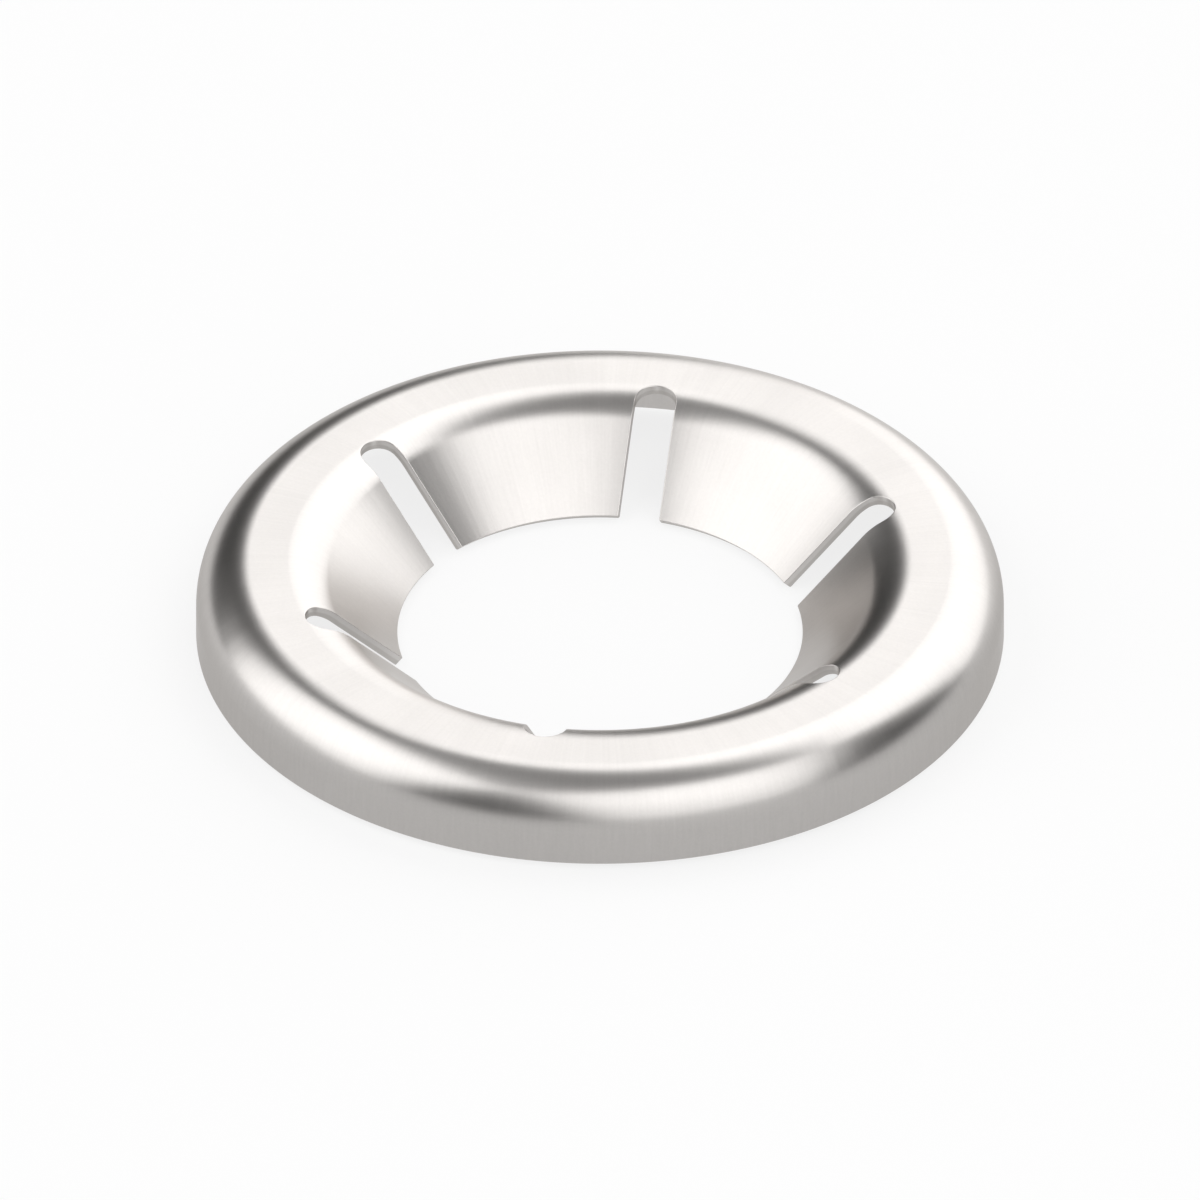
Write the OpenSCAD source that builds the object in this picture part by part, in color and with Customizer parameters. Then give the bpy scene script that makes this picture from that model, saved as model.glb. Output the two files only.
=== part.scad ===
// Push-on lock washer: one disc of spring steel sheet. A flat bearing face lies between two bends.
// Outside it, the rim is bent straight down. Inside it, the sheet slopes down and is slotted into prongs,
// whose tips grip a plain shaft. The shaft comes in through the bearing face and leaves past the tips.
// Z is the axis of the washer, and its lowest point is at Z = 0. One slot lies along +Y.

/* [Sheet] */
// Thickness of the sheet, the same all over
sheet_t = 0.25; // [0.15:0.01:0.4]

/* [Rim] */
// Outside diameter of the washer
washer_d = 19.5; // [18.5:0.1:26]
// Height of the rim, from its cut edge up to the bearing face
rim_h = 2.1; // [1.5:0.05:4]
// Outside radius of the bend between the rim and the bearing face
rim_bend_r = 1.3; // [0.5:0.05:1.5]

/* [Bearing face] */
// Width of the flat ring between the two bends
face_w = 0.9; // [0.4:0.05:1.4]

/* [Prongs] */
// Number of prongs, with a slot between each two
prong_count = 6; // [4:1:10]
// Slope of the prongs below the bearing face, in degrees
prong_angle = 45; // [30:1:60]
// Outside radius of the bend between the bearing face and the prongs
prong_bend_r = 1.4; // [0.5:0.05:2]
// Diameter of the circle through the prong tips, a little less than the shaft
tip_d = 9.8; // [8:0.1:10.6]
// Height of the narrow upright land at the edge of each tip, which bites the shaft
tip_land = 0.03; // [0.02:0.01:0.1]

/* [Slots] */
// Width of each slot
slot_w = 1; // [0.4:0.05:2]
// How far short of the bearing face the round end of each slot stops
slot_stop = 0.05; // [0:0.05:1]

/* [Hidden] */
$fn = 96;
steel = [0.78, 0.77, 0.75];
// How far cutting shapes run past what they cut
past = 1;
// Radii of the rim, of the prong tips, and of the two edges of the bearing face
rim_r = washer_d / 2;
tip_r = tip_d / 2;
face_out_r = rim_r - rim_bend_r;
face_in_r = face_out_r - face_w;
// Each tip is cut square across the sheet, and its sharp edge is trimmed back by this much to form the land
land_cut = tip_land * sin(prong_angle) * cos(prong_angle);
// Radius at which the upper side of the prong bend runs out into the straight prong
prong_top_r = face_in_r - prong_bend_r * sin(prong_angle);
// Length of the straight stretch of a prong, along the sheet
prong_l = (prong_top_r - tip_r + land_cut) / cos(prong_angle);
// Depth of the prong tips and of the whole washer below the bearing face
prong_depth = prong_bend_r - (prong_bend_r - sheet_t) * cos(prong_angle) + prong_l * sin(prong_angle);
washer_h = max(rim_h, prong_depth);
// Centre of the round end of each slot
slot_end_r = face_in_r - slot_stop - slot_w / 2;

// Ring-shaped section of a bend about its centre
module bend_ring(outside_r) {
    difference() {
        circle(outside_r);
        circle(outside_r - sheet_t);
    }
}

// Section of the rim: an upright wall and a quarter bend
module rim_section() {
    translate([face_out_r, -rim_bend_r]) intersection() {
        bend_ring(rim_bend_r);
        square(rim_bend_r);
    }
    translate([rim_r - sheet_t, -rim_h]) square([sheet_t, rim_h - rim_bend_r]);
}

// Section of the bearing face: flat sheet
module face_section() {
    translate([face_in_r, -sheet_t]) square([face_w, sheet_t]);
}

// Section of a prong: a bend through the prong angle, and a straight stretch cut off square
module prong_section() {
    translate([face_in_r, -prong_bend_r]) {
        intersection() {
            bend_ring(prong_bend_r);
            translate([-prong_bend_r, 0]) square(prong_bend_r);
            rotate(prong_angle) square(prong_bend_r);
        }
        rotate(prong_angle) translate([-prong_l, prong_bend_r - sheet_t]) square([prong_l, sheet_t]);
    }
}

// The pressed sheet before its slots, turned from its section
module pressed_sheet() {
    rotate_extrude() {
        rim_section();
        face_section();
        prong_section();
    }
}

// Plan of one slot along +Y: parallel sides from the middle out to a full round end
module slot_plan() {
    translate([-slot_w / 2, 0]) square([slot_w, slot_end_r]);
    translate([0, slot_end_r]) circle(slot_w / 2);
}

// Everything that is cut out of the pressed sheet: the shaft hole and the slots
module cut_outs() {
    cut_h = washer_h + 2 * past;
    translate([0, 0, -washer_h - past]) {
        cylinder(h = cut_h, r = tip_r);
        for (i = [0 : prong_count - 1])
            rotate(i * 360 / prong_count) linear_extrude(cut_h) slot_plan();
    }
}

module washer() {
    color(steel) translate([0, 0, washer_h]) difference() {
        pressed_sheet();
        cut_outs();
    }
}

washer();
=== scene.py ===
"""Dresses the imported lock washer: the pressed sheet with its rounded cut edges, its satin steel,
and the stage that it is photographed on.

The washer is one sheet of steel. Its mesh is worked out in sheet terms: every point has a radius, an
azimuth and a depth under the upper side, and one function gives the height of the sheet there.
"""

import math

import bpy
import numpy as np
from bpy.props import FloatProperty, FloatVectorProperty, IntProperty, PointerProperty
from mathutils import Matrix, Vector


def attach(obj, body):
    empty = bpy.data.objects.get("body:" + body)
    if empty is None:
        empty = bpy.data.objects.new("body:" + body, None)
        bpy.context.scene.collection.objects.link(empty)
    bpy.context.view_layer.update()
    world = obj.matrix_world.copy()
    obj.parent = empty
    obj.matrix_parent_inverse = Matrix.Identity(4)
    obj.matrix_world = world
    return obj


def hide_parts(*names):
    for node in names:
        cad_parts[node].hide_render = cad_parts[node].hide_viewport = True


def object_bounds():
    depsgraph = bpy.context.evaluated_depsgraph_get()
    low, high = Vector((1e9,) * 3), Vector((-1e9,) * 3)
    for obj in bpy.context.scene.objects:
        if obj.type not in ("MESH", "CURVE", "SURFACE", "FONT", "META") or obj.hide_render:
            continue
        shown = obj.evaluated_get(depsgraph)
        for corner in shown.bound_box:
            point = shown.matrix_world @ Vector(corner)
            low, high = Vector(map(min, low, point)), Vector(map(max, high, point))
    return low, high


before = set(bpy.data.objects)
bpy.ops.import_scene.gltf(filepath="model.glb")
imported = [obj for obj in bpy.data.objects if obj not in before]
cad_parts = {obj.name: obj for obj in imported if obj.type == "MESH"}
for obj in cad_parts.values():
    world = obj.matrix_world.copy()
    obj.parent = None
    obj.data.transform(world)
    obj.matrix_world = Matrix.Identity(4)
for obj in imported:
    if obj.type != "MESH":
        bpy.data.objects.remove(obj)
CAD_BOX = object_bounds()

bl_info = {
    "name": "Lock washer",
    "version": (1, 0, 0),
    "blender": (4, 5, 0),
    "location": "3D View > Sidebar > Lock washer",
    "description": "Builds a push-on lock washer of pressed spring steel, and the stage that it stands on",
    "category": "Mesh",
}

MM = 0.001
BODY = "root"
NODE = "washer"
# The plain solid's box is that of a many-sided ring, so its narrowest reach is the one to stay inside
RIM_REACH = min(-CAD_BOX[0].x, CAD_BOX[1].x, -CAD_BOX[0].y, CAD_BOX[1].y)


def length(name, description, default):
    """A size in metres that a user may change."""
    return FloatProperty(
        name=name, description=description, default=default, min=0.0, precision=5,
        subtype="DISTANCE", unit="LENGTH",
    )


def degrees(name, description, default):
    """An angle, given here in degrees, that a user may change."""
    return FloatProperty(
        name=name, description=description, default=math.radians(default),
        subtype="ANGLE", unit="ROTATION",
    )


def share(name, description, default, top=1.0):
    """A plain number from 0 to top that a user may change."""
    return FloatProperty(
        name=name, description=description, default=default, min=0.0, max=top, precision=3,
        subtype="FACTOR",
    )


def colour(name, description, default):
    """A linear colour that a user may change."""
    return FloatVectorProperty(
        name=name, description=description, default=default, size=3, min=0.0, max=1.0,
        subtype="COLOR",
    )


class WasherSizes(bpy.types.PropertyGroup):
    """Sizes of the pressed sheet."""

    washer_d: length("Outside diameter", "Across the bent-down rim", 2 * RIM_REACH)
    washer_h: length(
        "Height", "From the prong tips up to the bearing face", CAD_BOX[1].z - CAD_BOX[0].z,
    )
    sheet_t: length("Sheet", "Thickness of the steel sheet", 0.25 * MM)
    rim_h: length("Rim height", "From the rim's cut edge up to the bearing face", 2.1 * MM)
    rim_bend_r: length("Rim bend", "Outside radius of the bend between rim and bearing face", 1.3 * MM)
    face_w: length("Bearing face", "Width of the flat ring between the two bends", 0.9 * MM)
    prong_bend_r: length(
        "Prong bend", "Outside radius of the bend between bearing face and prongs", 1.4 * MM,
    )
    prong_angle: degrees("Prong slope", "Slope of the prongs below the bearing face", 45)
    prong_count: IntProperty(
        name="Prongs", description="Number of prongs and slots", default=6, min=3, max=12,
    )
    slot_w: length("Slot width", "Between the parallel sides of a slot", 1.0 * MM)
    slot_stop: length("Slot stop", "How far short of the bearing face a slot ends", 0.05 * MM)
    edge_r: length("Edge rounding", "Radius on the edges of every cut face", 0.02 * MM)
    corner_r: length(
        "Corner rounding", "Radius on a prong's corners, in the plane of the sheet", 0.04 * MM,
    )


class SteelLook(bpy.types.PropertyGroup):
    """Finish of the steel."""

    sheet_colour: colour("Steel", "Colour of the bright sheet", (0.565, 0.545, 0.529))
    # Painted shade: this darkens the colour of the rim, whose steel is the same as that of the rest of the
    # sheet
    rim_painted_shade: share(
        "Rim tone", "Brightness of the drawn rim beside that of the rest of the sheet", 0.81,
    )
    grazing_tint: colour("Grazing tint", "Tint of reflections at a low angle", (0.80, 0.785, 0.77))
    cut_colour: colour("Cut steel", "Colour of the torn part of a cut face", (0.50, 0.482, 0.464))
    roughness: share("Roughness", "Roughness of the satin sheet where it is smoothest", 0.277)
    cut_roughness: share("Cut roughness", "Roughness of the torn part of a cut face", 0.42)
    grain_size: length("Grain", "Size of the satin grain", 0.07 * MM)
    cloud_size: length("Clouding", "Size of the faint cloudy patches in the finish", 2.8 * MM)
    mark_depth: length("Mark depth", "Height of the shallow marks that drawing leaves", 0.001 * MM)


class StageLook(bpy.types.PropertyGroup):
    """Floor, lights, surroundings and camera."""

    floor_colour: colour("Floor", "Colour of the floor paper", (0.75, 0.75, 0.75))
    floor_size: length("Floor size", "Side of the square floor", 3.0)
    backlight: share("Floor backlight", "Share of the floor's white that shadows don't reach", 0.8)
    light_level: share("Light level", "Scales the radiance of every soft box", 1.0, 10.0)
    light_range: length("Light range", "Distance of the soft boxes from the washer", 1.0)
    ceiling: share("Ceiling light", "Radiance of the surroundings straight overhead", 0.24, 10.0)
    walls: share("Wall light", "Radiance of the dim walls between the soft boxes", 0.005, 10.0)
    skyline: share("Skyline", "Radiance of the pale strip at the horizon and all below it", 0.986, 10.0)
    view_azimuth: degrees("View azimuth", "Direction of the camera round the washer", 11.04)
    view_elevation: degrees("View elevation", "Height of the camera above the horizon", 35.02)
    view_width: length("View width", "Width of what the camera sees", 28.95 * MM)
    aim_height: length("Aim height", "Height of the point that the camera looks at", 1.115 * MM)


# The sheet

SEGMENTS = 60          # columns of the mesh across one prong
EDGE_STEPS = 4         # steps round the rounding of a cut edge
WALL_STEPS = 4         # steps down the flat part of a cut face
CORNER_STEPS = 5       # steps round a corner of a prong
CONE_STEPS = 14        # rows along the straight part of a prong
CURL_STEPS = 10        # rows of the prong bend beside the straight part of a slot
END_STEPS = 16         # rows beside the round end of a slot
TAIL_STEPS = 3         # rows of the prong bend past the slots
FACE_STEPS = 3         # rows across the bearing face
BEND_STEPS = 24        # rows round the rim bend
WALL_ROWS = 5          # rows down the rim
WELD = 0.05e-6         # points that are nearer to each other than about this, in metres, are the same


class Sheet:
    """Radii and heights of the sheet, worked out from its sizes. Heights are above the floor."""

    def __init__(self, sizes):
        self.t = sizes.sheet_t
        self.count = sizes.prong_count
        self.slope = sizes.prong_angle
        self.edge = sizes.edge_r
        self.corner = sizes.corner_r
        self.half_slot = sizes.slot_w / 2
        self.rim_r = sizes.washer_d / 2
        self.rim_bend = sizes.rim_bend_r
        self.prong_bend = sizes.prong_bend_r
        self.top = sizes.washer_h
        self.rim_edge = self.top - sizes.rim_h
        self.face_out = self.rim_r - self.rim_bend
        self.face_in = self.face_out - sizes.face_w
        self.slot_centre = self.face_in - sizes.slot_stop - self.half_slot
        # The lower edge of a tip touches the floor, and the tip is cut square across the sheet
        fall = self.prong_bend - (self.prong_bend - self.t) * math.cos(self.slope)
        reach = (self.top - fall) / math.tan(self.slope)
        low_r = self.face_in - (self.prong_bend - self.t) * math.sin(self.slope) - reach
        self.tip_r = low_r - self.t * math.sin(self.slope)

    def height(self, radius, depth):
        """Height of the layer that lies depth under the upper side, at radii inside the rim bend: flat
        on the bearing face, then an arc about the centre of the prong bend, then a cone."""
        centre = self.top - self.prong_bend
        bend = self.prong_bend - depth
        start = self.face_in - bend * math.sin(self.slope)
        inward = np.clip(self.face_in - radius, 0, bend * math.sin(self.slope))
        arc = centre + np.sqrt(bend**2 - inward**2)
        return arc - np.maximum(start - radius, 0) * math.tan(self.slope)

    def normal(self, radius, depth):
        """Radial and upright parts of the normal of that layer's upper side. On the bend it leans inwards
        by the distance from the bearing face over the bend's radius, and on the cone by the slope."""
        bend = self.prong_bend - depth
        lean = np.clip((self.face_in - radius) / bend, 0, math.sin(self.slope))
        return -lean, np.sqrt(1 - lean**2)


def steps(low, high, count):
    """Even steps from low to high, without low itself, along the last axis."""
    return low + (high - low) * np.linspace(0, 1, count + 1)[1:]


def cut_profile(sheet):
    """Section through a cut edge, from the upper side round to the lower, as columns: the inset from the
    cut face, the depth, and the shares of the upper side's normal and of the cut face's in the normal.
    Two quarter circles of the edge rounding are joined by a straight stretch."""
    turn = np.linspace(0, math.pi / 2, EDGE_STEPS + 1)
    flat = steps(0.0, 1.0, WALL_STEPS)[:-1]
    inset = sheet.edge * np.concatenate([1 - np.sin(turn), 0 * flat, 1 - np.cos(turn)])
    depth = np.concatenate([
        sheet.edge * (1 - np.cos(turn)),
        sheet.edge + (sheet.t - 2 * sheet.edge) * flat,
        sheet.t - sheet.edge * (1 - np.sin(turn)),
    ])
    up = np.concatenate([np.cos(turn), 0 * flat, -np.sin(turn)])
    out = np.concatenate([np.sin(turn), 1 + 0 * flat, np.cos(turn)])
    return inset[:, None], depth[:, None], up[:, None], out[:, None]


def half_outline(sheet, inset, depth):
    """Outlines of half a prong, from its tip corner out along the slot to the middle of the slot's round
    end, one row for each inset and depth of two columns. Returns the radius, the azimuth from the slot's
    axis, and the parts of the cut face's normal across the slot, along the radius and upright. The corner
    is a quarter circle in the plane of the sheet, the side keeps its distance from the slot's axis, and
    the end is a quarter circle in plan."""
    side = sheet.half_slot + inset
    tip = sheet.tip_r + depth * math.sin(sheet.slope)
    turn = np.linspace(0, math.pi / 2, CORNER_STEPS + 1)
    corner_x = sheet.half_slot + sheet.corner - (sheet.corner - inset) * np.sin(turn)
    corner_r = tip + math.cos(sheet.slope) * (sheet.corner - (sheet.corner - inset) * np.cos(turn))

    cone_end = sheet.face_in - (sheet.prong_bend - depth) * math.sin(sheet.slope)
    side_end = np.hypot(sheet.slot_centre, side)
    side_r = np.concatenate([
        steps(corner_r[:, -1:], cone_end, CONE_STEPS), steps(cone_end, side_end, CURL_STEPS),
    ], 1)
    end_turn = steps(math.pi / 2, 0.0, END_STEPS)
    end_x = side * np.sin(end_turn)
    end_y = sheet.slot_centre + side * np.cos(end_turn)

    radius = np.concatenate([corner_r, side_r, np.hypot(end_x, end_y)], 1)
    azimuth = np.concatenate([
        np.arcsin(corner_x / corner_r), np.arcsin(side / side_r), np.arctan2(end_x, end_y),
    ], 1)
    # On the round end the cut face looks at the slot's centre, so its normal turns from across to along
    tilt = end_turn - np.arctan2(end_x, end_y)
    tip_face = np.cos(turn) + 0 * corner_r
    across = np.concatenate([np.sin(turn) + 0 * corner_r, 1 + 0 * side_r, np.sin(tilt)], 1)
    along = np.concatenate([tip_face * math.cos(sheet.slope), 0 * side_r, np.cos(tilt)], 1)
    up = np.concatenate([tip_face * math.sin(sheet.slope), 0 * side_r, 0 * end_x], 1)
    return radius, azimuth, across, -along, -up


def place(radius, azimuth, height):
    """Points from radius, azimuth and height: radius times the azimuth's cosine and sine, and height."""
    radius, azimuth, height = np.broadcast_arrays(radius, azimuth, height)
    return np.stack([radius * np.cos(azimuth), radius * np.sin(azimuth), height], -1)


def turned(across, along, up, azimuth):
    """Vectors from their parts across the radius, along the radius and upright: the first two are turned
    about the axis by the azimuth."""
    across, along, up, azimuth = np.broadcast_arrays(across, along, up, azimuth)
    sine, cosine = np.sin(azimuth), np.cos(azimuth)
    return np.stack([along * cosine - across * sine, along * sine + across * cosine, up], -1)


class Patches:
    """Grids of points that share their borders and are welded into one closed surface."""

    def __init__(self):
        self.points, self.normals, self.faces = [], [], []
        self.cut, self.depth = [], []
        self.start = 0

    def add(self, points, normals, cut, depth):
        """Adds a grid of points, with the normal, the share of cut face and the depth at each. A cell is
        wound so that it faces the way its normals do."""
        shape = points.shape[:2]
        points, normals = points.reshape(-1, 3), normals.reshape(-1, 3)
        index = np.arange(len(points)).reshape(shape)
        cells = np.stack([index[:-1, :-1], index[:-1, 1:], index[1:, 1:], index[1:, :-1]], -1)
        cells = cells.reshape(-1, 4)
        corner = points[cells]
        facing = np.cross(corner[:, 2] - corner[:, 0], corner[:, 3] - corner[:, 1])
        if (facing * normals[cells].sum(1)).sum() < 0:
            cells = cells[:, ::-1]
        self.points.append(points)
        self.normals.append(normals)
        self.cut.append(np.broadcast_to(cut, shape).ravel())
        self.depth.append(np.broadcast_to(depth, shape).ravel())
        self.faces.append(cells + self.start)
        self.start += len(points)

    def mesh(self, name):
        """One mesh of all the grids. Points at the same place become one, and every corner of a face
        keeps the exact normal of its own grid, so that the shading has no facets."""
        points, normals = np.concatenate(self.points), np.concatenate(self.normals)
        keys = np.round(points / WELD).astype(np.int64)
        first, same = np.unique(keys, axis=0, return_index=True, return_inverse=True)[1:]
        same = same.ravel()
        corners = np.concatenate(self.faces)
        faces = same[corners]
        whole = (np.diff(np.sort(faces, 1), axis=1) > 0).all(1)
        faces, corners = faces[whole], corners[whole]
        mesh = bpy.data.meshes.new(name)
        mesh.from_pydata(points[first].tolist(), [], faces.tolist())
        for layer, values in (("cut_face", self.cut), ("depth", self.depth)):
            attribute = mesh.attributes.new(layer, "FLOAT", "POINT")
            attribute.data.foreach_set("value", np.concatenate(values)[first].astype(np.float32))
        mesh.shade_smooth()
        mesh.normals_split_custom_set(normals[corners.ravel()].tolist())
        return mesh


def add_prong_sides(patches, sheet, middle, columns):
    """The upper and the lower side of one prong. Each row is an arc about the axis, which ends where the
    outline of the slots crosses that radius."""
    half = math.pi / sheet.count
    for depth, sign in ((0.0, 1.0), (sheet.t, -1.0)):
        outline = half_outline(sheet, np.array([[sheet.edge]]), np.array([[depth]]))
        radius, azimuth = outline[0].T, outline[1].T
        turn = middle + (half - azimuth) * columns
        along, up = sheet.normal(radius, depth)
        points = place(radius, turn, sheet.height(radius, depth))
        patches.add(points, turned(0.0, sign * along, sign * up, turn), 0.0, depth / sheet.t)


def add_cut_face(patches, sheet, middle, columns):
    """The cut face round one prong, from the middle of one slot's end to the middle of the next: the
    section of the cut edge carried along the outline."""
    half = math.pi / sheet.count
    inset, depth, up_share, out_share = cut_profile(sheet)
    radius, azimuth, across, along, up = half_outline(sheet, inset, depth)
    arc = columns[1:-1]

    def whole(row, sign=1.0):
        """The half's values, mirrored for the other half and held along the tip's arc."""
        return np.concatenate([sign * row[:, ::-1], (1 + sign) / 2 * row[:, :1] + 0 * arc, row], 1)

    turn = middle + np.concatenate([
        azimuth[:, ::-1] - half, (half - azimuth[:, :1]) * arc, half - azimuth,
    ], 1)
    radius = whole(radius)
    lean, rise = sheet.normal(radius, depth)
    wall = turned(whole(across, -1.0), whole(along), whole(up), turn)
    normals = out_share[..., None] * wall + up_share[..., None] * turned(0.0, lean, rise, turn)
    normals = normals / np.linalg.norm(normals, axis=-1, keepdims=True)
    patches.add(place(radius, turn, sheet.height(radius, depth)), normals, out_share, depth / sheet.t)


def rim_rows(sheet, depth):
    """Section of one side of the sheet from the end of the slots out over the bearing face, round the
    rim bend and down the rim: arrays of radius, height and the two parts of the normal."""
    slot_end = sheet.slot_centre + sheet.half_slot + sheet.edge
    tail = steps(slot_end, sheet.face_in, TAIL_STEPS)
    inner = np.concatenate([[slot_end], tail, steps(sheet.face_in, sheet.face_out, FACE_STEPS)])
    turn = steps(0.0, math.pi / 2, BEND_STEPS)
    bend = sheet.rim_bend - depth
    drop = steps(sheet.top - sheet.rim_bend, sheet.rim_edge + sheet.edge, WALL_ROWS)
    lean, rise = sheet.normal(inner, depth)
    radius = np.concatenate([inner, sheet.face_out + bend * np.sin(turn), 0 * drop + sheet.rim_r - depth])
    height = np.concatenate([
        sheet.height(inner, depth), sheet.top - sheet.rim_bend + bend * np.cos(turn), drop,
    ])
    along = np.concatenate([lean, np.sin(turn), 1 + 0 * drop])
    up = np.concatenate([rise, np.cos(turn), 0 * drop])
    return radius, height, along, up


def add_rim(patches, sheet, ring):
    """Bearing face, rim bend and rim, both sides, and the rim's cut edge, all turned about the axis."""
    for depth, sign in ((0.0, 1.0), (sheet.t, -1.0)):
        radius, height, along, up = (row[:, None] for row in rim_rows(sheet, depth))
        normals = turned(0.0, sign * along, sign * up, ring)
        patches.add(place(radius, ring, height), normals, 0.0, depth / sheet.t)
    inset, depth, up_share, out_share = cut_profile(sheet)
    points = place(sheet.rim_r - depth, ring, sheet.rim_edge + inset)
    patches.add(points, turned(0.0, up_share, -out_share, ring), out_share, depth / sheet.t)


def washer_mesh(sizes):
    """The whole pressed sheet as one closed mesh."""
    sheet = Sheet(sizes)
    columns = np.linspace(-1, 1, SEGMENTS + 1)
    half = math.pi / sheet.count
    # A slot lies along +Y, so the first prong is half a pitch past it
    middles = math.pi / 2 + half * (2 * np.arange(sheet.count) + 1)
    patches = Patches()
    for middle in middles:
        add_prong_sides(patches, sheet, middle, columns)
        add_cut_face(patches, sheet, middle, columns)
        add_rim(patches, sheet, middle + half * columns)
    return patches.mesh("pressed_sheet")


# Materials

WHITE = (1.0, 1.0, 1.0, 1.0)
PAPER_ROUGHNESS = 0.9

# The marks change with the direction from the axis, as a point on a circle of radius 1, and with height
MARK_SCALE = 110.0       # fine marks, features per unit of that circle
WAVE_SCALE = 40.0        # broad waves between them, likewise
MARK_CLIMB = 8.0         # units per metre of height, so few that the marks run long down the rim

WALL_START = 0.3 * MM    # how far inside the rim's radius the rim's painted shade and added roughness begin
WALL_FULL = 0.03 * MM    # how far inside it the rim's painted shade and added roughness are full
CLOUD_BAND = (0.35, 0.65)    # levels of the cloud noise between which the tone changes
TORN_BAND = (0.55, 0.7)  # shares of the sheet's depth between which a burnished cut face turns torn
TORN_WANDER = 0.25       # how far the marks move that line, as a share of the same depth

# What each pattern adds to the roughness at most
WAVE_ROUGHNESS = 0.02
CLOUD_ROUGHNESS = 0.04
WALL_ROUGHNESS = 0.03

# Brightness of clouded sheet and of worn edges beside the sheet's, and how much of the brightness
# follows the marks and the grain
CLOUD_TONE = 0.97
WORN_TONE = 1.08
MARK_TONE = 0.1
GRAIN_TONE = 0.1

# Heights of the fine marks and the grain beside the waves', and what torn steel adds to the marks'
MARK_RELIEF = 0.7
TORN_RELIEF = 0.7
GRAIN_RELIEF = 0.4


class Nodes:
    """Short calls for building a material's nodes."""

    def __init__(self, tree):
        self.tree = tree

    def new(self, kind, **settings):
        """A node of one kind with its settings."""
        node = self.tree.nodes.new(kind)
        for name, value in settings.items():
            setattr(node, name, value)
        return node

    def feed(self, socket, value):
        """Links an output to a socket, or sets the socket to a constant."""
        if isinstance(value, bpy.types.NodeSocket):
            self.tree.links.new(value, socket)
        else:
            socket.default_value = value

    def maths(self, operation, *values):
        """The result of one operation on constants and outputs."""
        node = self.new("ShaderNodeMath", operation=operation)
        for socket, value in zip(node.inputs, values):
            self.feed(socket, value)
        return node.outputs[0]

    def ramp(self, value, low, high, to_low=0.0, to_high=1.0):
        """Smooth step of a value from one range to another."""
        node = self.new("ShaderNodeMapRange", interpolation_type="SMOOTHSTEP")
        for socket, item in zip(node.inputs, (value, low, high, to_low, to_high)):
            self.feed(socket, item)
        return node.outputs[0]

    def noise(self, vector, scale, detail, rough):
        """Noise about a half at a place: features per unit, finer layers, and the strength of each finer
        layer beside the one before."""
        node = self.new("ShaderNodeTexNoise")
        self.feed(node.inputs["Vector"], vector)
        for name, value in (("Scale", scale), ("Detail", detail), ("Roughness", rough)):
            self.feed(node.inputs[name], value)
        return node.outputs["Fac"]

    def parts(self, vector):
        """The three parts of a vector."""
        node = self.new("ShaderNodeSeparateXYZ")
        self.feed(node.inputs[0], vector)
        return node.outputs

    def vector(self, x, y, z):
        """A vector of three parts."""
        node = self.new("ShaderNodeCombineXYZ")
        for socket, value in zip(node.inputs, (x, y, z)):
            self.feed(socket, value)
        return node.outputs[0]

    def scale_colour(self, tone, level):
        """A colour times a plain number."""
        node = self.new("ShaderNodeVectorMath", operation="SCALE")
        self.feed(node.inputs[0], tone)
        self.feed(node.inputs["Scale"], level)
        return node.outputs[0]

    def mix_colour(self, share_socket, low, high):
        """The colour low where the share is 0, high where it is 1."""
        node = self.new("ShaderNodeMix", data_type="RGBA")
        self.feed(node.inputs["Factor"], share_socket)
        self.feed(node.inputs["A"], low)
        self.feed(node.inputs["B"], high)
        return node.outputs["Result"]


def toned(tone, level=1.0):
    """A linear colour times a level, opaque, as a colour socket takes it."""
    return (*(level * part for part in tone), 1.0)


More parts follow.
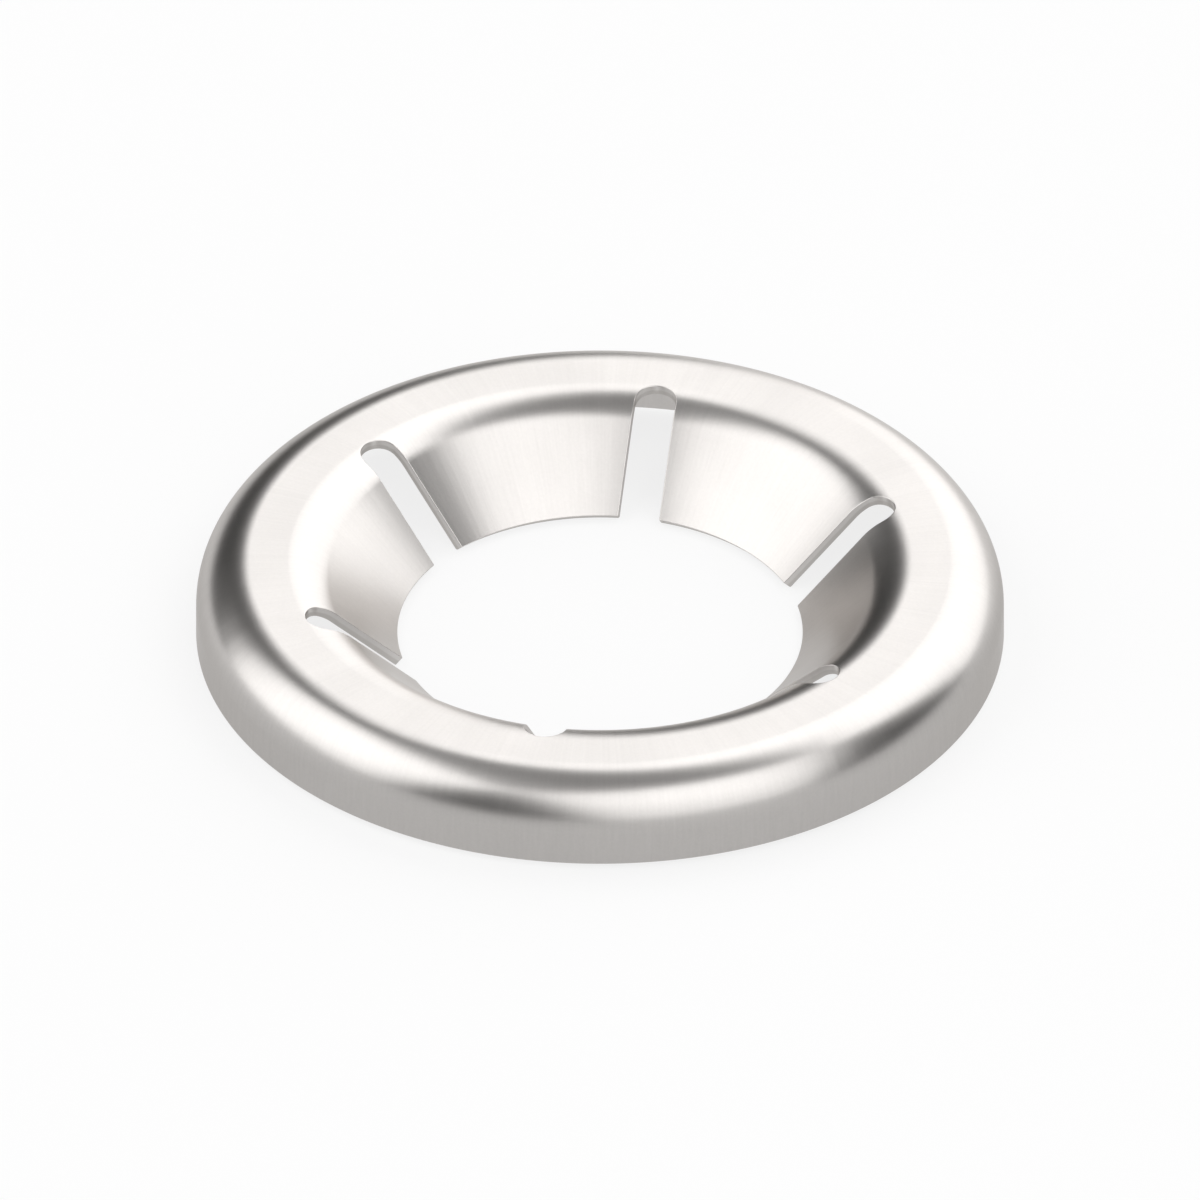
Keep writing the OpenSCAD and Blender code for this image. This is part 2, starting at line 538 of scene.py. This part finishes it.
def steel_material(look, rim_r):
    """Bright satin spring steel. Fine grain and faint clouding all over, drawing marks that run outwards
    over the bends and down the rim, a slightly rougher rim whose colour is darkened as painted shade,
    edges rubbed bright, and cut faces with a burnished band above a rougher torn one."""
    material = bpy.data.materials.new("spring_steel")
    material.use_nodes = True
    n = Nodes(material.node_tree)
    shader = material.node_tree.nodes["Principled BSDF"]
    spot = n.new("ShaderNodeTexCoord").outputs["Object"]
    x, y, z = n.parts(spot)
    radius = n.maths("SQRT", n.maths("ADD", n.maths("MULTIPLY", x, x), n.maths("MULTIPLY", y, y)))
    circle_x, circle_y = n.maths("DIVIDE", x, radius), n.maths("DIVIDE", y, radius)
    around = n.vector(circle_x, circle_y, n.maths("MULTIPLY", z, MARK_CLIMB))
    cut = n.new("ShaderNodeAttribute", attribute_name="cut_face").outputs["Fac"]
    depth = n.new("ShaderNodeAttribute", attribute_name="depth").outputs["Fac"]

    grain = n.noise(spot, scale=1 / look.grain_size, detail=3.0, rough=0.6)
    clouds = n.noise(spot, scale=1 / look.cloud_size, detail=2.0, rough=0.5)
    marks = n.noise(around, scale=MARK_SCALE, detail=2.5, rough=0.55)
    waves = n.noise(around, scale=WAVE_SCALE, detail=0.0, rough=0.4)
    # Mask of the rim, where the roughness rises and the colour is darkened as painted shade
    wall = n.ramp(radius, rim_r - WALL_START, rim_r - WALL_FULL)
    # Round the rounding of a cut edge the share of cut face goes from 0 to 1, and where it is a half, this
    # is 1
    edge = n.maths("MULTIPLY", n.maths("MULTIPLY", cut, n.maths("SUBTRACT", 1.0, cut)), 4.0)
    torn_line = n.maths("ADD", depth, n.maths("MULTIPLY", marks, TORN_WANDER))
    torn = n.maths("MULTIPLY", cut, n.ramp(torn_line, *TORN_BAND))

    finish = n.maths("MULTIPLY_ADD", waves, WAVE_ROUGHNESS, look.roughness)
    finish = n.maths("MULTIPLY_ADD", clouds, CLOUD_ROUGHNESS, finish)
    finish = n.maths("MULTIPLY_ADD", wall, WALL_ROUGHNESS, finish)
    finish = n.maths("MULTIPLY_ADD", torn, look.cut_roughness - look.roughness, finish)
    n.feed(shader.inputs["Roughness"], finish)

    # Marks and grain are about a half on average, so the last term keeps the mean brightness at 1
    satin = n.maths("MULTIPLY_ADD", grain, GRAIN_TONE, 1 - (MARK_TONE + GRAIN_TONE) / 2)
    satin = n.maths("MULTIPLY_ADD", marks, MARK_TONE, satin)
    sheet = look.sheet_colour
    tone = n.mix_colour(n.ramp(clouds, *CLOUD_BAND), toned(sheet), toned(sheet, CLOUD_TONE))
    # Painted shade: the rim's colour is darkened here
    tone = n.mix_colour(wall, tone, toned(sheet, look.rim_painted_shade))
    tone = n.scale_colour(tone, satin)
    tone = n.mix_colour(torn, tone, toned(look.cut_colour))
    tone = n.mix_colour(edge, tone, toned(sheet, WORN_TONE))
    n.feed(shader.inputs["Base Color"], tone)
    n.feed(shader.inputs["Metallic"], 1.0)
    n.feed(shader.inputs["Specular Tint"], toned(look.grazing_tint))

    mark_relief = n.maths("MULTIPLY_ADD", torn, TORN_RELIEF, MARK_RELIEF)
    relief = n.maths("MULTIPLY_ADD", marks, mark_relief, waves)
    relief = n.maths("MULTIPLY_ADD", grain, GRAIN_RELIEF, relief)
    bump = n.new("ShaderNodeBump")
    n.feed(bump.inputs["Height"], relief)
    n.feed(bump.inputs["Distance"], look.mark_depth)
    n.feed(bump.inputs["Strength"], 1.0)
    n.feed(shader.inputs["Normal"], bump.outputs[0])
    return material


def floor_material(look):
    """Matt white paper, lit from behind as well, so that the shadows on it stay light. The backlight
    shows to the camera and in reflections, and throws no light on the washer."""
    material = bpy.data.materials.new("floor_paper")
    material.use_nodes = True
    n = Nodes(material.node_tree)
    paper = material.node_tree.nodes["Principled BSDF"]
    n.feed(paper.inputs["Base Color"], toned(look.floor_colour))
    n.feed(paper.inputs["Roughness"], PAPER_ROUGHNESS)
    n.feed(paper.inputs["Specular IOR Level"], 0.0)
    glow = n.new("ShaderNodeEmission")
    n.feed(glow.inputs["Color"], WHITE)
    n.feed(glow.inputs["Strength"], 1.0)
    path = n.new("ShaderNodeLightPath").outputs
    seen = n.maths("MAXIMUM", path["Is Camera Ray"], path["Is Glossy Ray"])
    seen = n.maths("MAXIMUM", seen, path["Is Transmission Ray"])
    mix = n.new("ShaderNodeMixShader")
    n.feed(mix.inputs[0], n.maths("MULTIPLY", seen, look.backlight))
    n.feed(mix.inputs[1], paper.outputs[0])
    n.feed(mix.inputs[2], glow.outputs[0])
    n.feed(material.node_tree.nodes["Material Output"].inputs["Surface"], mix.outputs[0])
    return material


# Stage

# Soft boxes: azimuth from the camera's right hand and elevation, the angles that each one spans across
# and upwards, all in degrees, and its radiance
SOFT_BOXES = (
    ("back_right", 54.5, 35, 68.5, 66, 2.03),
    ("left", 182.5, 34, 67.5, 63, 1.95),
    ("front_right", 299, 35, 67.5, 64, 1.81),
)

# Sines of the elevations between which the ceiling grows lighter, and between which the pale strip fades
CEILING_BAND = (0.5, 1.0)
SKYLINE_BAND = (0.008, 0.02)

# How far back the camera stands, and the nearest and the furthest that it sees, in widths of its view
CAMERA_BACK = 4
CLIP_NEAR = 0.1
CLIP_FAR = 40


def direction(azimuth, elevation):
    """Unit vector from two angles in radians. Azimuth 0 is +X."""
    flat = math.cos(elevation)
    return Vector((flat * math.cos(azimuth), flat * math.sin(azimuth), math.sin(elevation)))


def add_soft_boxes(look, middle):
    """Large soft boxes round the washer, each square to the line to it. A side is twice the distance times
    the tangent of half the angle that it spans, and the power is pi times the radiance times the area."""
    for name, azimuth, elevation, wide, high, level in SOFT_BOXES:
        away = direction(math.radians(azimuth) + look.view_azimuth, math.radians(elevation))
        lamp = bpy.data.lights.new("soft_box_" + name, "AREA")
        lamp.shape = "RECTANGLE"
        lamp.size = 2 * look.light_range * math.tan(math.radians(wide) / 2)
        lamp.size_y = 2 * look.light_range * math.tan(math.radians(high) / 2)
        lamp.energy = level * look.light_level * math.pi * lamp.size * lamp.size_y
        holder = bpy.data.objects.new(lamp.name, lamp)
        holder.location = middle + away * look.light_range
        holder.rotation_mode = "QUATERNION"
        holder.rotation_quaternion = away.to_track_quat("Z", "Y")
        bpy.context.scene.collection.objects.link(holder)


def set_world(look):
    """Dim walls under a ceiling that grows lighter towards the zenith. At the horizon, where the floor
    runs out, and below it the surroundings are as pale as the floor."""
    world = bpy.data.worlds.new("studio")
    bpy.context.scene.world = world
    world.use_nodes = True
    n = Nodes(world.node_tree)
    upward = n.parts(n.new("ShaderNodeTexCoord").outputs["Generated"])[2]
    ceiling = n.ramp(upward, *CEILING_BAND, look.walls, look.ceiling)
    level = n.maths("MAXIMUM", ceiling, n.ramp(upward, *SKYLINE_BAND, look.skyline, 0.0))
    background = world.node_tree.nodes["Background"]
    n.feed(background.inputs["Color"], WHITE)
    n.feed(background.inputs["Strength"], level)


def add_floor(look):
    """A square of paper at the height of the lowest edge of the prongs."""
    half = look.floor_size / 2
    corners = [(-half, -half, 0), (half, -half, 0), (half, half, 0), (-half, half, 0)]
    mesh = bpy.data.meshes.new("floor")
    mesh.from_pydata(corners, [], [(0, 1, 2, 3)])
    mesh.materials.append(floor_material(look))
    floor = bpy.data.objects.new("floor", mesh)
    bpy.context.scene.collection.objects.link(floor)


def add_camera(look):
    """A camera without perspective, as the photograph has none."""
    lens = bpy.data.cameras.new("camera")
    lens.type = "ORTHO"
    lens.ortho_scale = look.view_width
    camera = bpy.data.objects.new("camera", lens)
    back = direction(look.view_azimuth - math.pi / 2, look.view_elevation)
    camera.location = Vector((0, 0, look.aim_height)) + back * CAMERA_BACK * look.view_width
    camera.rotation_mode = "QUATERNION"
    camera.rotation_quaternion = back.to_track_quat("Z", "Y")
    lens.clip_start = look.view_width * CLIP_NEAR
    lens.clip_end = look.view_width * CLIP_FAR
    bpy.context.scene.collection.objects.link(camera)
    bpy.context.scene.camera = camera


class LOCKWASHER_OT_washer(bpy.types.Operator):
    """Build the pressed sheet in place of the plain solid"""

    bl_idname = "lock_washer.build_washer"
    bl_label = "Build washer"

    def execute(self, context):
        sizes = context.scene.washer_sizes
        mesh = washer_mesh(sizes)
        mesh.materials.append(steel_material(context.scene.steel_look, sizes.washer_d / 2))
        washer = bpy.data.objects.new("pressed_washer", mesh)
        context.scene.collection.objects.link(washer)
        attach(washer, BODY)
        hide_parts(NODE)
        return {"FINISHED"}


class LOCKWASHER_OT_stage(bpy.types.Operator):
    """Lay out the floor, the soft boxes, the surroundings and the camera"""

    bl_idname = "lock_washer.build_stage"
    bl_label = "Build stage"

    def execute(self, context):
        look = context.scene.stage_look
        add_floor(look)
        add_soft_boxes(look, Vector((0, 0, look.aim_height)))
        set_world(look)
        add_camera(look)
        context.scene.view_settings.view_transform = "Standard"
        return {"FINISHED"}


class LOCKWASHER_PT_panel(bpy.types.Panel):
    """Sizes, finishes and buttons of the lock washer"""

    bl_idname = "LOCKWASHER_PT_panel"
    bl_label = "Lock washer"
    bl_space_type = "VIEW_3D"
    bl_region_type = "UI"
    bl_category = "Lock washer"

    def draw(self, context):
        scene = context.scene
        for heading, group in (
            ("Sizes", scene.washer_sizes), ("Steel", scene.steel_look), ("Stage", scene.stage_look),
        ):
            box = self.layout.box()
            box.label(text=heading)
            for name in group.__annotations__:
                box.prop(group, name)
        for operator in (LOCKWASHER_OT_washer, LOCKWASHER_OT_stage):
            self.layout.operator(operator.bl_idname)


CLASSES = (
    WasherSizes, SteelLook, StageLook, LOCKWASHER_OT_washer, LOCKWASHER_OT_stage, LOCKWASHER_PT_panel,
)


def register():
    """Registers the classes and gives the scene its three groups of values."""
    for item in CLASSES:
        bpy.utils.register_class(item)
    bpy.types.Scene.washer_sizes = PointerProperty(type=WasherSizes)
    bpy.types.Scene.steel_look = PointerProperty(type=SteelLook)
    bpy.types.Scene.stage_look = PointerProperty(type=StageLook)


def unregister():
    """Takes away what register gave."""
    del bpy.types.Scene.stage_look
    del bpy.types.Scene.steel_look
    del bpy.types.Scene.washer_sizes
    for item in reversed(CLASSES):
        bpy.utils.unregister_class(item)


def main():
    """Builds everything in order."""
    register()
    bpy.ops.lock_washer.build_washer()
    bpy.ops.lock_washer.build_stage()


if __name__ == "__main__":
    main()
